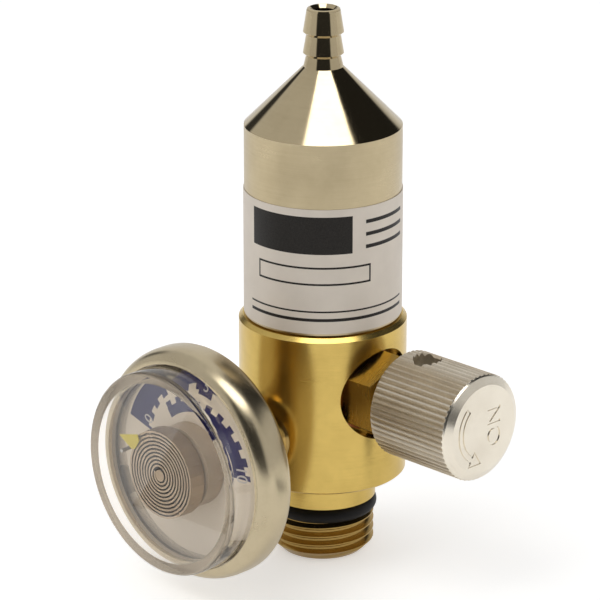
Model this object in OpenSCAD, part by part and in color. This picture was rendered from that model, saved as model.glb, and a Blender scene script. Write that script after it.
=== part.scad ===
// Fixed flow gas cylinder regulator: brass body, screwed outlet housing with a hose barb,
// shut-off valve with a knurled knob, and a small direct drive pressure gauge.
// The body axis is Z, the knob points along +X and the gauge faces -Y.
// The origin is on the body axis at the first full turn of the inlet thread.

/* [Inlet] */
// Major diameter of the male inlet thread
thread_d = 15.875; // [15.2:0.125:16.2]
// Length of the full thread above its lead chamfer
thread_len = 4.75; // [4:0.05:8]
// Lead chamfer at the end of the spigot
thread_chamfer = 1.5; // [0.8:0.1:1.8]
// Diameter of the inlet bore
inlet_bore_d = 7.2; // [6:0.1:8]
// Depth of the inlet bore from the end of the spigot
inlet_bore_depth = 8; // [7:0.5:9.5]
// Cord thickness of the inlet O-ring
inlet_cord_d = 2.5; // [2:0.1:2.7]
// Outside diameter of the inlet O-ring
inlet_oring_d = 16.8; // [16.4:0.1:17.4]
// Diameter of the neck above the O-ring
neck_d = 16.4; // [15.8:0.1:18]
// Height of the neck
neck_h = 4.4; // [3.6:0.1:6]

/* [Body] */
// Diameter of the turned body
body_d = 25.6; // [25:0.1:27]
// Height of the turned body
body_h = 25; // [24.4:0.1:28]
// Chamfer round the top edge of the body
body_edge = 0.6; // [0.3:0.1:0.9]
// Wall of the housing over the thread of the boss that carries it
socket_wall = 2.4; // [2:0.1:3.2]
// Height of the threaded boss
boss_h = 7.6; // [7.2:0.1:8.6]
// Wall of the boss round the bore that the guide screws into
boss_wall = 3.5; // [3:0.1:3.8]
// Diameter of the supply passage up the body axis
supply_d = 2.0; // [1.4:0.1:2.2]

/* [Outlet housing] */
// Diameter of the plated housing
housing_d = 23.8; // [22:0.1:25]
// Length of the straight part of the housing
housing_len = 29.8; // [29:0.1:34]
// Wall of the housing round the piston bore
housing_wall = 3.3; // [3:0.1:3.6]
// Diameter of the seating above the piston bore for the flow orifice
orifice_seat_d = 6; // [5:0.1:7]
// Diameter of the outlet bore
outlet_d = 3.2; // [2:0.1:3.4]
// Diameter where the cone meets the hose tail
cone_top_d = 6.0; // [5.8:0.1:8]
// Height of the flared root of the hose tail
root_h = 1.65; // [1:0.05:3]
// Smallest diameter of the hose tail between its ridges
barb_root_d = 5.2; // [4.8:0.1:5.6]
// Crest diameter of the ridges
barb_crest_d = 6.15; // [5.9:0.05:7]
// Distance between ridges
barb_pitch = 3.2; // [2.6:0.1:4.5]
// Number of ridges
barb_count = 2; // [1:1:4]
// Height of the step under each ridge
barb_step = 0.42; // [0.2:0.02:0.8]
// Diameter of the tail at its rounded tip
tip_d = 5.1; // [4.7:0.1:5.6]

/* [Label] */
// Height of the wrapped foil label
label_h = 19.4; // [10:0.1:24]
// Thickness of the label
label_t = 0.1; // [0.05:0.01:0.2]
// Distance from the body to the label
label_gap = 0.6; // [0.2:0.1:2]
// Open angle at the back between the ends of the label
label_seam = 34; // [10:1:90]

/* [Regulating stage] */
// Diameter of the piston stem as a share of the bore of the boss
stem_share = 0.42; // [0.36:0.01:0.44]
// Room for the spring between the guide and the piston head
spring_room = 9.6; // [8.8:0.1:10.4]
// Thickness of the piston head
piston_head_h = 3.6; // [3:0.1:4.4]
// Free stroke of the piston between open and shut
piston_stroke = 0.6; // [0.3:0.05:0.9]
// Wire thickness of the regulating spring
spring_wire = 1.5; // [1:0.1:1.8]
// Clearance between the spring and the piston bore
spring_side_gap = 2.25; // [1.4:0.05:2.6]
// Working turns of the regulating spring
spring_turns = 4; // [3:0.5:5]
// Bore of the nozzle
nozzle_bore_d = 1.0; // [0.4:0.1:1.4]
// Bore of the calibrated flow orifice
flow_bore_d = 0.5; // [0.2:0.05:1]

/* [Shut-off valve] */
// Distance from the top of the body down to the valve axis
valve_drop = 10; // [9.6:0.1:10.2]
// Distance from the body axis to the valve seat
seat_x = 2.0; // [1.8:0.1:2.3]
// Bore of the valve chamber
chamber_d = 8.2; // [7.8:0.1:8.4]
// Bore that the gland nut screws into
gland_thread_d = 10; // [9.6:0.1:10.2]
// Counterbore round the gland nut
counterbore_d = 14.1; // [14:0.1:14.6]
// Depth of the counterbore below the outside of the body
counterbore_depth = 4; // [3.6:0.1:4.2]
// Width across the flats of the gland nut
hex_af = 12; // [11:0.1:12.1]
// Distance from the counterbore floor to the outer end of the gland nut
gland_len = 7.6; // [7:0.1:8.2]
// Thread diameter of the valve stem
stem_d = 6; // [5.6:0.1:6.4]
// Travel of the valve stem between shut and open
stem_travel = 1.5; // [0.5:0.1:1.5]

/* [Knob] */
// Diameter over the knurl
knob_d = 16.3; // [15:0.1:18]
// Length of the knob
knob_len = 15.75; // [13:0.05:20]
// Distance from the gland nut to the back of the knob
knob_gap = 1.1; // [0.6:0.1:3]
// Number of knurl teeth
knurl_teeth = 56; // [30:1:72]
// Depth of the knurl
knurl_depth = 0.45; // [0.2:0.05:0.6]
// Diameter of the turned front face
knob_face_d = 13.8; // [11:0.1:14.6]
// Width of the smooth turned band in front of the knurl
knob_band = 1.0; // [0.8:0.05:2]
// Length of the turned chamfer between the band and the face
knob_chamfer = 0.5; // [0.2:0.05:0.7]
// Diameter of the set screw
set_screw_d = 4.4; // [3:0.1:4.6]
// Distance from the back of the knob to the set screw
set_screw_x = 4.3; // [3.6:0.1:6]

/* [Gauge] */
// Height of the gauge axis above the bottom of the body
gauge_h = 8; // [7:0.1:8.2]
// Length of the bare neck between the body and the shoulder of the gauge socket
neck_len = 1.7; // [1:0.1:4]
// Diameter of the bare neck
socket_neck_d = 8.8; // [8:0.1:9]
// Thread diameter of the gauge socket
socket_thread_d = 9.6; // [9:0.1:9.8]
// Diameter of the socket shoulder
socket_d = 13; // [11.6:0.1:13.4]
// Length of the socket shoulder up to the back of the case
socket_len = 9.1; // [6:0.1:14]
// Diameter of the stamped case
case_d = 35.7; // [32:0.1:38]
// Depth from the back of the case to its rolled rim
case_depth = 6.4; // [6.2:0.05:10]
// Thickness of the case wall
case_t = 0.8; // [0.6:0.05:1]
// Width of the rolled rim round the clear lens
rim_w = 2.25; // [2:0.05:3]
// Height that the lens stands out of the rolled rim
lens_out = 4.2; // [3.8:0.05:8]
// Wall thickness of the lens
lens_wall = 1.8; // [1:0.1:2]
// Thickness of the front of the lens
lens_front = 0.8; // [0.7:0.1:1.4]
// Thickness of the dial
dial_t = 0.4; // [0.3:0.05:0.6]

/* [Gauge movement] */
// Distance from the gauge axis down to the axis of the movement
movement_drop = 0.7; // [0:0.1:1]
// Distance from the gauge axis across to the axis of the movement
movement_shift = 1.0; // [0:0.1:1.4]
// Outside diameter of the spiral tube as a share of the lens
coil_share = 0.445; // [0.4:0.005:0.48]
// Turns of the spiral tube
coil_turns = 10; // [6:1:11]
// Thickness of the flattened tube
coil_t = 0.3; // [0.2:0.02:0.36]
// Width of the flattened tube along the gauge axis
coil_w = 2.4; // [1.6:0.1:2.8]
// Distance that the drum behind the spiral stays inside the spiral's edge
drum_inset = 0.8; // [0.2:0.05:1.4]
// Angle of the pointer at zero, from the knob side
zero_angle = 156; // [120:1:165]
// Distance from the tip of the pointer to the wall of the lens
pointer_gap = 3.2; // [2:0.1:4]

/* [Hidden] */
$fn = 72;

// Named clearances
cut = 1;
seat_gap = 0.02;
slide_gap = 0.05;
seal_gap = 0.04;
thread_gap = 0.04;

// Heights along the body axis
gland_w = inlet_cord_d + 2 * slide_gap;
neck_z = thread_len + gland_w;
body_z = neck_z + neck_h;
top_z = body_z + body_h;
boss_z = top_z + boss_h;
valve_z = top_z - valve_drop;
gauge_z = body_z + gauge_h;
inlet_floor_z = inlet_bore_depth - thread_chamfer;
depressor_z = 2.2;
depressor_t = 1.8;
filter_floor_z = depressor_z + depressor_t + seat_gap;
chamber_top_z = valve_z + chamber_d / 2;

// Diameters that follow the housing
boss_d = housing_d - 2 * socket_wall;
boss_bore_d = boss_d - 2 * boss_wall;
piston_bore_d = housing_d - 2 * housing_wall;
piston_stem_d = stem_share * boss_bore_d;
spring_d = piston_bore_d - 2 * spring_side_gap - spring_wire;

// Nozzle and guide in the boss
nozzle_pocket_d = 4.8;
nozzle_pocket_h = 1.8;
nozzle_floor_z = chamber_top_z + 1.1;
boss_floor_z = nozzle_floor_z + nozzle_pocket_h;
nozzle_tail = 1.0;
nozzle_flange_d = 6.8;
nozzle_flange_h = 0.7;
nozzle_crown_h = 0.8;
nozzle_crown_d = 2.0;
crown_z = boss_floor_z + nozzle_flange_h + nozzle_crown_h;
drilling_d = 1.4;
guide_flange_h = 1.0;
guide_len = 4.9;
guide_z = boss_z - guide_len;
guide_top_z = boss_z + guide_flange_h;
guide_cord_d = 1.0;
stem_cord_d = 1.25;
seal_z = guide_z + 1.4;
bush_seal_z = guide_z + 3.1;

// Housing cavities
housing_top_z = top_z + housing_len;
step_z = boss_z + 0.2;
head_z = step_z + spring_room;
vent_z = guide_top_z + 3;
stop_rim_h = 0.6;
piston_top_z = head_z + piston_head_h + stop_rim_h;
bore_end_z = piston_top_z + seat_gap;
filter_z = bore_end_z + 1.0;
filter_h = 1.4;
orifice_h = 2.0;
orifice_z = filter_z + filter_h;
outlet_z = orifice_z + orifice_h;
housing_edge = 0.3;
vent_d = 1.2;
cone_h = (housing_d - cone_top_d) / 2;
tail_z = housing_top_z + cone_h;
barb_z = tail_z + root_h;
tip_edge = 0.35;
tip_z = barb_z + barb_count * barb_pitch + 0.85;

// Piston
piston_seat_d = piston_stem_d * 0.64;
piston_boss_d = piston_bore_d * 0.46;
side_hole_rise = 1.2;
piston_seat_h = 1.2;
seat_stand = 0.2;
piston_face_z = crown_z + piston_stroke + slide_gap;
piston_bore = piston_stem_d * 0.32;
piston_groove_w = 1.7;
piston_cord_d = 1.5;
piston_groove_z = head_z + piston_head_h / 2;

// Valve along +X, measured from the body axis
seal_t = 1.2;
poppet_d = 4.8;
poppet_len = 1.9;
poppet_tail_d = 1.8;
poppet_tail = 2.2;
collar_d = 7.2;
collar_len = 1.0;
stem_x = seat_x + seat_gap + poppet_len + slide_gap;
gland_x = stem_x + collar_len + stem_travel + 0.1;
washer_t = 0.8;
counterbore_x = body_d / 2 - counterbore_depth;
hex_x = counterbore_x + washer_t;
gland_end_x = counterbore_x + gland_len;
stem_groove_x = gland_end_x - 3.4;
stem_cord = 1.04;
shank_d = stem_d - 1;
knob_x = gland_end_x + knob_gap;
knob_end_x = knob_x + knob_len;
band_x = knob_end_x - knob_band;
band_step = 0.12;
knob_recess_d = 9.8;
knob_recess = 1.0;
knob_back_edge = 0.5;
knob_bore_len = 9.7;
set_screw_sink = 1.8;
stem_flat = shank_d / 2 - 0.4;
stem_end_x = knob_x + knob_bore_len - 0.3;

// Gauge along its own axis, measured from the body axis
port_y = 4.6;
socket_washer_t = 0.8;
socket_washer_bore_d = 4;
socket_edge = 0.5;
socket_bore_d = 3.2;
thread_end_y = body_d / 2 - 0.8;
shoulder_y = body_d / 2 + neck_len;
case_y = shoulder_y + socket_len;
rim_y = case_y + case_depth;
case_round = 1.8;
rim_round = 1.5;
lens_d = case_d - 2 * rim_w;
rim_inner_d = lens_d + 0.4;
spigot_d = 7.8;
swage_y = case_y + case_t;
swage_h = 0.7;
post_y = swage_y + swage_h;
flange_t = 1.2;
flange_y = rim_y - 1.25 - flange_t;
dial_y = flange_y - dial_t;
flange_d = case_d - 2 * case_t - 0.2;
lens_y = rim_y + lens_out;
lens_inner_y = lens_y - lens_front;
lens_round = 0.7;
post_foot_d = 7.2;
coil_d = coil_share * lens_d;
post_d = 4.8;
post_pin_d = 1.8;
coil_end_y = lens_inner_y - 0.6;
coil_y = coil_end_y - coil_w;
drum_end_y = coil_y - 0.3;
pointer_y = coil_end_y + 0.15;
pointer_t = 0.2;
tab_t = 0.25;
tab_r = coil_d / 2 + 0.2;
tab_w = 1.2;
tab_drop = 1.4;
tab_angle = zero_angle - 8;
pointer_r = lens_d / 2 - lens_wall - pointer_gap;
drum_d = 2 * (coil_d / 2 - drum_inset);
stop_pin_d = 0.6;
stop_pin_r = coil_d / 2 + 1.15;
stop_pin_angle = zero_angle + 11;

// Placing along the valve axis: local Z runs outwards and local Y is up
module along_valve() {
    translate([0, 0, valve_z])
        rotate([90, 0, 90])
            children();
}

// Placing along the gauge axis: local Z runs outwards and local Y is up
module along_gauge() {
    translate([0, 0, gauge_z])
        rotate([90, 0, 0])
            children();
}

// Placing along the axis of the gauge movement
module along_movement() {
    along_gauge()
        translate([-movement_shift, -movement_drop, 0])
            children();
}

// Round rod from one height to another
module rod(d, z1, z2) {
    translate([0, 0, z1])
        cylinder(d = d, h = z2 - z1);
}

// Hexagonal bar with two flats facing sideways
module hex_bar(af, z1, z2) {
    translate([0, 0, z1])
        rotate([0, 0, 30])
            cylinder(d = af / cos(30), h = z2 - z1, $fn = 6);
}

// O-ring whose outside touches a given diameter
module oring(outer_d, cord, z) {
    translate([0, 0, z])
        rotate_extrude()
            translate([outer_d / 2 - cord / 2, 0])
                circle(d = cord, $fn = 32);
}

// Ring groove cut into the outside of a shaft
module shaft_groove(outer_d, root_d, w, z) {
    difference() {
        rod(outer_d + 2 * cut, z - w / 2, z + w / 2);
        rod(root_d, z - w, z + w);
    }
}

// Turned shape from a list of radius and height pairs
module turned(points) {
    rotate_extrude()
        polygon(points);
}

// Brass body with its inlet spigot, passages, valve chamber and gauge port
module body() {
    end_r = thread_d / 2 - thread_chamfer;
    groove_r = inlet_oring_d / 2 - inlet_cord_d - slide_gap;
    color("#b99a4a")
    difference() {
        turned([
            [0, -thread_chamfer],
            [end_r, -thread_chamfer],
            [thread_d / 2, 0],
            [thread_d / 2, thread_len],
            [groove_r, thread_len],
            [groove_r, neck_z],
            [neck_d / 2, neck_z],
            [neck_d / 2, body_z],
            [body_d / 2 - 0.3, body_z],
            [body_d / 2, body_z + 0.3],
            [body_d / 2, top_z - body_edge],
            [body_d / 2 - body_edge, top_z],
            [boss_d / 2, top_z],
            [boss_d / 2, boss_z - 0.4],
            [boss_d / 2 - 0.4, boss_z],
            [0, boss_z]
        ]);
        rod(inlet_bore_d, -thread_chamfer - cut, inlet_floor_z);
        rod(supply_d, inlet_floor_z - cut, valve_z + supply_d / 2);
        rod(boss_bore_d, boss_floor_z, boss_z + cut);
        rod(nozzle_pocket_d, nozzle_floor_z, boss_floor_z + cut);
        translate([0, 0, nozzle_floor_z + 0.8])
            rotate([0, 135, 0])
                cylinder(d = drilling_d, h = 4.4);
        along_valve() {
            rod(supply_d * 0.8, 0, seat_x + cut);
            rod(chamber_d, seat_x, gland_x + cut);
            rod(gland_thread_d, gland_x - 0.6, counterbore_x + cut);
            rod(counterbore_d, counterbore_x, body_d);
        }
        along_gauge() {
            rod(supply_d * 0.8, 0, port_y + cut);
            rod(socket_thread_d, port_y, body_d);
        }
    }
}

// Rubber ring that seals the inlet
module inlet_oring() {
    color("#141313") oring(inlet_oring_d, inlet_cord_d, thread_len + gland_w / 2);
}

// Insert whose pin opens the valve of the cylinder
module valve_depressor() {
    disc_d = inlet_bore_d - 2 * slide_gap;
    hole_d = disc_d * 0.21;
    disc_top_z = depressor_z + depressor_t;
    color("#a8894a")
    difference() {
        union() {
            rod(disc_d, depressor_z, disc_top_z);
            rod(1.8, -thread_chamfer + 0.3, depressor_z + cut);
        }
        for (i = [0:2])
            rotate([0, 0, 120 * i + 60])
                translate([disc_d * 0.31, 0, 0])
                    rod(hole_d, depressor_z - cut, disc_top_z + cut);
    }
}

// Sintered filter disc at the top of the inlet bore
module inlet_filter() {
    color("#8f7042") rod(inlet_bore_d - 2 * slide_gap, filter_floor_z, inlet_floor_z);
}

// Nozzle that the piston shuts against
module nozzle() {
    tail_r = nozzle_pocket_d / 2 - thread_gap;
    color("#c3a55b")
    turned([
        [nozzle_bore_d / 2, boss_floor_z - nozzle_tail],
        [tail_r, boss_floor_z - nozzle_tail],
        [tail_r, boss_floor_z],
        [nozzle_flange_d / 2, boss_floor_z],
        [nozzle_flange_d / 2, boss_floor_z + nozzle_flange_h],
        [nozzle_crown_d / 2 + 0.6, boss_floor_z + nozzle_flange_h],
        [nozzle_crown_d / 2, crown_z],
        [nozzle_bore_d / 2, crown_z]
    ]);
}

// Bush that guides and seals the piston stem
module piston_guide() {
    bush_d = boss_bore_d - 2 * thread_gap;
    guide_bore_d = piston_stem_d + 2 * slide_gap;
    inner_groove_d = piston_stem_d + 2 * (stem_cord_d + seal_gap) + 0.1;
    outer_groove_d = boss_bore_d - 2 * (guide_cord_d + seal_gap) - 0.1;
    color("#b08f4c")
    difference() {
        union() {
            rod(bush_d, guide_z, boss_z + cut / 2);
            rod(piston_bore_d - 0.4, boss_z, guide_top_z);
        }
        rod(guide_bore_d, guide_z - cut, guide_top_z + cut);
        rod(inner_groove_d, seal_z - stem_cord_d / 2 - slide_gap, seal_z + stem_cord_d / 2 + slide_gap);
        shaft_groove(bush_d, outer_groove_d, guide_cord_d + 0.1, bush_seal_z);
    }
}

// Rubber ring between the guide and the boss
module guide_oring() {
    color("#171717") oring(boss_bore_d - 2 * seal_gap, guide_cord_d, bush_seal_z);
}

// Rubber ring round the piston stem
module piston_stem_oring() {
    color("#171717") oring(piston_stem_d + 2 * (stem_cord_d + seal_gap), stem_cord_d, seal_z);
}

// Outline of the hose tail, from the cone up to the rounded tip
function barb_points() = [
    for (i = [0:barb_count - 1], j = [0:1])
        [j == 0 ? barb_root_d / 2 : barb_crest_d / 2, barb_z + i * barb_pitch + j * barb_step]
];

// Plated outlet housing, turned in one piece with its cone and hose tail
module housing() {
    mouth_r = outlet_d / 2 + 0.5;
    color("#b8ac8c")
    difference() {
        turned(concat(
            [
                [0, top_z],
                [housing_d / 2 - housing_edge, top_z],
                [housing_d / 2, top_z + housing_edge],
                [housing_d / 2, housing_top_z],
                [cone_top_d / 2, tail_z]
            ],
            barb_points(),
            [
                [tip_d / 2, tip_z - tip_edge],
                [tip_d / 2 - 0.12, tip_z - 0.1],
                [tip_d / 2 - tip_edge, tip_z],
                [0, tip_z]
            ]
        ));
        rod(boss_d + 2 * thread_gap, top_z - cut, step_z);
        rod(piston_bore_d, step_z - cut, bore_end_z);
        rod(orifice_seat_d, bore_end_z - cut, outlet_z);
        rod(outlet_d, outlet_z - cut, tip_z + cut);
        translate([0, 0, tip_z - 0.5])
            cylinder(r1 = outlet_d / 2, r2 = mouth_r + 0.05, h = 0.55);
        translate([0, 0, vent_z])
            rotate([-90, 0, 0])
                cylinder(d = vent_d, h = housing_d);
    }
}

// Sintered disc that keeps dirt off the flow orifice
module orifice_filter() {
    color("#8f7042") rod(orifice_seat_d - 2 * thread_gap, filter_z, orifice_z - seat_gap);
}

// Plug whose small bore sets the flow
module flow_orifice() {
    plug_d = orifice_seat_d - 2 * thread_gap;
    color("#c3a55b")
    difference() {
        rod(plug_d, orifice_z, outlet_z - seat_gap);
        rod(flow_bore_d, orifice_z - cut, outlet_z + cut);
        translate([0, 0, orifice_z + 0.4])
            cube([plug_d * 2, 0.8, 0.9], center = true);
    }
}

// Foil label wrapped round the housing, open at the back
module label() {
    inner_r = housing_d / 2 + seat_gap;
    color("#cdc6ba")
    translate([0, 0, top_z + label_gap])
        rotate([0, 0, 90 + label_seam / 2])
            rotate_extrude(angle = 360 - label_seam)
                translate([inner_r, 0])
                    square([label_t, label_h]);
}

// Piston with its stem, gas passage and ring groove
module piston() {
    head_d = piston_bore_d - 4 * slide_gap;
    groove_d = piston_bore_d - 2 * (piston_cord_d + seal_gap) - 0.1;
    stem_z = piston_face_z + seat_stand;
    side_hole_z = stem_z + piston_seat_h + side_hole_rise;
    color("#c9b273")
    difference() {
        union() {
            rod(piston_stem_d, stem_z, head_z + cut);
            rod(head_d, head_z, head_z + piston_head_h);
            rod(piston_boss_d, head_z, piston_top_z);
        }
        rod(piston_seat_d + 2 * seat_gap, stem_z - cut, stem_z + piston_seat_h - seat_stand);
        rod(piston_bore, side_hole_z, piston_top_z + cut);
        translate([0, 0, side_hole_z])
            rotate([90, 0, 0])
                cylinder(d = 1.0, h = 2 * piston_stem_d, center = true);
        shaft_groove(head_d, groove_d, piston_groove_w, piston_groove_z);
    }
}

// Soft disc that shuts the nozzle
module piston_seat() {
    color("#e7e4dc") rod(piston_seat_d, piston_face_z, piston_face_z + piston_seat_h);
}

// Rubber ring on the piston head
module piston_oring() {
    color("#171717") oring(piston_bore_d - 2 * seal_gap, piston_cord_d, piston_groove_z);
}

// Centre line of the spring: a flat turn at each end and the working turns between
function spring_point(t, z1, z2) =
    let (s = min(max((t - 0.75) / spring_turns, 0), 1))
    [spring_d / 2 * cos(360 * t), spring_d / 2 * sin(360 * t), z1 + (z2 - z1) * s];

// Wound compression spring that holds the regulator open
module regulator_spring() {
    sides = 8;
    steps = 20;
    z1 = guide_top_z + spring_wire / 2 + seat_gap;
    z2 = head_z - spring_wire / 2 - seat_gap;
    rings = floor((spring_turns + 1.5) * steps);
    points = [
        for (i = [0:rings], j = [0:sides - 1])
            let (
                c = spring_point(i / steps, z1, z2),
                a = 360 * i / steps,
                b = 360 * j / sides,
                r = spring_wire / 2
            )
            [c[0] + r * cos(b) * cos(a), c[1] + r * cos(b) * sin(a), c[2] + r * sin(b)]
    ];
    sheets = [
        for (i = [0:rings - 1], j = [0:sides - 1])
            let (a = i * sides + j, b = i * sides + (j + 1) % sides)
            [a, a + sides, b + sides, b]
    ];
    first_cap = [for (j = [0:sides - 1]) j];
    last_cap = [for (j = [sides - 1:-1:0]) rings * sides + j];
    color("#8d9095") polyhedron(points, concat(sheets, [first_cap, last_cap]), convexity = 8);
}

// Hexagonal gland nut that holds the valve stem
module gland_nut() {
    end_round = 0.6;
    color("#a5853c")
    along_valve()
    difference() {
        union() {
            rod(gland_thread_d - 2 * thread_gap, gland_x, hex_x + cut);
            intersection() {
                hex_bar(hex_af, hex_x, gland_end_x);
                turned([
                    [0, hex_x],
                    [hex_af / 2 + 1.2, hex_x],
                    [hex_af / 2 + 1.2, gland_end_x - 0.7],
                    [hex_af / 2 - end_round, gland_end_x],
                    [0, gland_end_x]
                ]);
            }
        }
        rod(stem_d + 2 * thread_gap, gland_x - cut, gland_end_x + cut);
    }
}

// Copper washer under the gland nut
module gland_washer() {
    color("#a8643a")
    along_valve()
    difference() {
        rod(hex_af + 0.6, counterbore_x, hex_x);
        rod(gland_thread_d + 0.1, counterbore_x - cut, hex_x + cut);
    }
}

// Poppet that stays still while the stem turns behind it
module poppet() {
    face_x = seat_x + seat_gap + 0.3;
    back_x = seat_x + seat_gap + poppet_len;
    color("#b99a4a")
    along_valve()
    difference() {
        union() {
            rod(poppet_d, face_x, back_x);
            rod(poppet_tail_d, back_x - cut / 2, back_x + poppet_tail);
        }
        rod(poppet_d * 0.72 + 2 * seat_gap, face_x - cut, seat_x + seat_gap + seal_t);
    }
}

// Soft disc of the poppet
module poppet_seal() {
    start_x = seat_x + seat_gap;
    color("#efece4") along_valve() rod(poppet_d * 0.72, start_x, start_x + seal_t);
}

// Valve stem with its stop collar, thread, ring groove and shank
module valve_stem() {
    shank_x = gland_end_x + 0.2;
    color("#9aa0a4")
    along_valve()
    difference() {
        union() {
            rod(collar_d, stem_x, stem_x + collar_len);
            rod(stem_d, stem_x, shank_x);
            rod(shank_d, shank_x - cut, stem_end_x);
        }
        rod(poppet_tail_d + 2 * slide_gap, stem_x - cut, stem_x + poppet_tail + 0.2);
        shaft_groove(stem_d, stem_d - 2 * stem_cord - 0.1, stem_cord + 0.2, stem_groove_x);
        translate([-shank_d, stem_flat, knob_x + set_screw_x - 2.6])
            cube([2 * shank_d, shank_d, 5.2]);
    }
}

// Rubber ring on the valve stem
module stem_oring() {
    color("#171717") along_valve() oring(stem_d, stem_cord, stem_groove_x);
}

// Outline of the straight knurl, one tooth at a time
function knurl_points() = [
    for (i = [0:knurl_teeth - 1], j = [0:2])
        let (
            r = knob_d / 2 - (j == 2 ? knurl_depth : 0),
            a = 360 * (i + [-0.14, 0.14, 0.5][j]) / knurl_teeth
        )
        [r * cos(a), r * sin(a)]
];

// Knurled knob with a smooth turned front, bored for the stem and the set screw
module knob() {
    r = knob_d / 2;
    band_r = r - band_step;
    face_r = knob_face_d / 2;
    color("#aca392")
    along_valve()
    difference() {
        union() {
            intersection() {
                translate([0, 0, knob_x])
                    linear_extrude(height = knob_len)
                        polygon(knurl_points());
                turned([
                    [0, knob_x],
                    [r - knob_back_edge, knob_x],
                    [r + 0.1, knob_x + knob_back_edge + 0.1],
                    [r + 0.1, band_x - 0.15],
                    [r - knurl_depth - 0.1, band_x + knurl_depth + 0.05],
                    [0, band_x + knurl_depth + 0.05]
                ]);
            }
            turned([
                [0, band_x],
                [band_r, band_x],
                [band_r, knob_end_x - knob_chamfer],
                [band_r - (band_r - face_r) * 0.3, knob_end_x - knob_chamfer * 0.4],
                [face_r, knob_end_x],
                [0, knob_end_x]
            ]);
        }
        rod(knob_recess_d, knob_x - cut, knob_x + knob_recess);
        rod(shank_d + 2 * seat_gap, knob_x, knob_x + knob_bore_len);
        translate([0, 0, knob_x + set_screw_x])
            rotate([-90, 0, 0])
                cylinder(d = set_screw_d, h = knob_d);
    }
}

// Socket set screw that grips the stem
module knob_set_screw() {
    screw_d = set_screw_d - 2 * thread_gap;
    top = knob_d / 2 - set_screw_sink;
    bottom = stem_flat + seat_gap;
    color("#77777a")
    along_valve()
        translate([0, 0, knob_x + set_screw_x])
            rotate([-90, 0, 0])
                difference() {
                    rod(screw_d, bottom, top);
                    translate([0, 0, top - 1.6])
                        cylinder(d = screw_d * 0.56, h = 1.6 + cut, $fn = 6);
                }
}

// Threaded socket that carries the gauge
module gauge_socket() {
    color("#c2b28c")
    along_gauge()
    difference() {
        union() {
            rod(socket_thread_d - 2 * thread_gap, port_y + socket_washer_t, thread_end_y);
            rod(socket_neck_d, thread_end_y - cut, shoulder_y + cut);
            turned([
                [0, shoulder_y],
                [socket_d / 2 - socket_edge, shoulder_y],
                [socket_d / 2, shoulder_y + socket_edge],
                [socket_d / 2, case_y],
                [0, case_y]
            ]);
            rod(spigot_d, case_y - cut, post_y);
            rod(spigot_d + 1.4, swage_y + seat_gap, post_y);
        }
        rod(socket_bore_d, port_y, post_y + cut);
    }
}

// Sealing washer at the bottom of the gauge port
module socket_washer() {
    washer_top_y = port_y + socket_washer_t;
    color("#a8643a")
    along_gauge()
    difference() {
        rod(socket_thread_d - 2 * slide_gap, port_y, washer_top_y);
        rod(socket_washer_bore_d, port_y - cut, washer_top_y + cut);
    }
}

// Plug that damps pressure surges to the gauge
module gauge_restrictor() {
    color("#b99a4a")
    along_gauge()
    difference() {
        rod(socket_bore_d - 2 * seat_gap, port_y + 1, port_y + 4);
        rod(0.6, port_y, port_y + 5);
    }
}

// Points of an arc in a turned outline
function arc(cx, cz, r, a1, a2, n) = [
    for (i = [0:n])
        let (a = a1 + (a2 - a1) * i / n)
        [cx + r * cos(a), cz + r * sin(a)]
];

// Stamped case whose front edge is rolled over the lens
module gauge_case() {
    r = case_d / 2;
    inner = r - case_t;
    lip = flange_y + flange_t + seat_gap;
    color("#bfb48f")
    along_gauge()
    turned(concat(
        [[spigot_d / 2 + slide_gap, case_y]],
        arc(r - case_round, case_y + case_round, case_round, -90, 0, 6),
        arc(r - rim_round, rim_y - rim_round - 0.2, rim_round, 0, 72, 6),
        [
            [rim_inner_d / 2, rim_y],
            [rim_inner_d / 2, rim_y - 0.75],
            [inner, lip],
            [inner, case_y + case_round]
        ],
        arc(r - case_round, case_y + case_round, case_round - case_t, -15, -90, 4),
        [[spigot_d / 2 + slide_gap, case_y + case_t]]
    ));
}

// Ring that holds the dial up from the back of the case
module dial_spacer() {
    r = flange_d / 2;
    base = case_y + case_t + seat_gap;
    color("#8f8b80")
    along_gauge()
    turned([
        [r - 1.6, base],
        [r - 1.1, base],
        [r, base + 1.1],
        [r, dial_y],
        [r - 1.6, dial_y]
    ]);
}

// Printed dial
module dial() {
    color("#d6cfc4")
    along_gauge()
    difference() {
        rod(flange_d, dial_y, flange_y);
        translate([-movement_shift, -movement_drop, 0]) {
            rod(post_d + 2 * slide_gap, dial_y - cut, flange_y + cut);
            rotate([0, 0, stop_pin_angle])
                translate([stop_pin_r, 0, 0])
                    rod(stop_pin_d + 2 * seat_gap, dial_y - cut, flange_y + cut);
        }
    }
}

// Post that feeds the spiral tube through the dial
module coil_post() {
    color("#bba36a")
    along_movement()
    difference() {
        union() {
            rod(post_foot_d, post_y, dial_y - seat_gap);
            rod(post_d, post_y, drum_end_y);
            rod(post_pin_d, drum_end_y - cut, coil_end_y);
        }
        rod(0.8, post_y - cut, coil_y + coil_w / 2);
    }
}

// Cup behind the spiral tube, on the gauge axis, with an off-centre hole for the post
module coil_drum() {
    wall = 0.6;
    color("#8c7f63")
    along_gauge()
    difference() {
        rod(drum_d, flange_y + 0.1, drum_end_y);
        rod(drum_d - 2 * wall, flange_y + 0.1 - cut, drum_end_y - wall);
        translate([-movement_shift, -movement_drop, 0])
            rod(post_d + 2 * seat_gap, flange_y, drum_end_y + cut);
    }
}

// Radius of the middle of the spiral tube after t turns
function coil_r(t) =
    let (first = post_pin_d / 2 + coil_t / 2 + seat_gap, last = coil_d / 2 - coil_t / 2)
    first + (last - first) * t / coil_turns;

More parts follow.
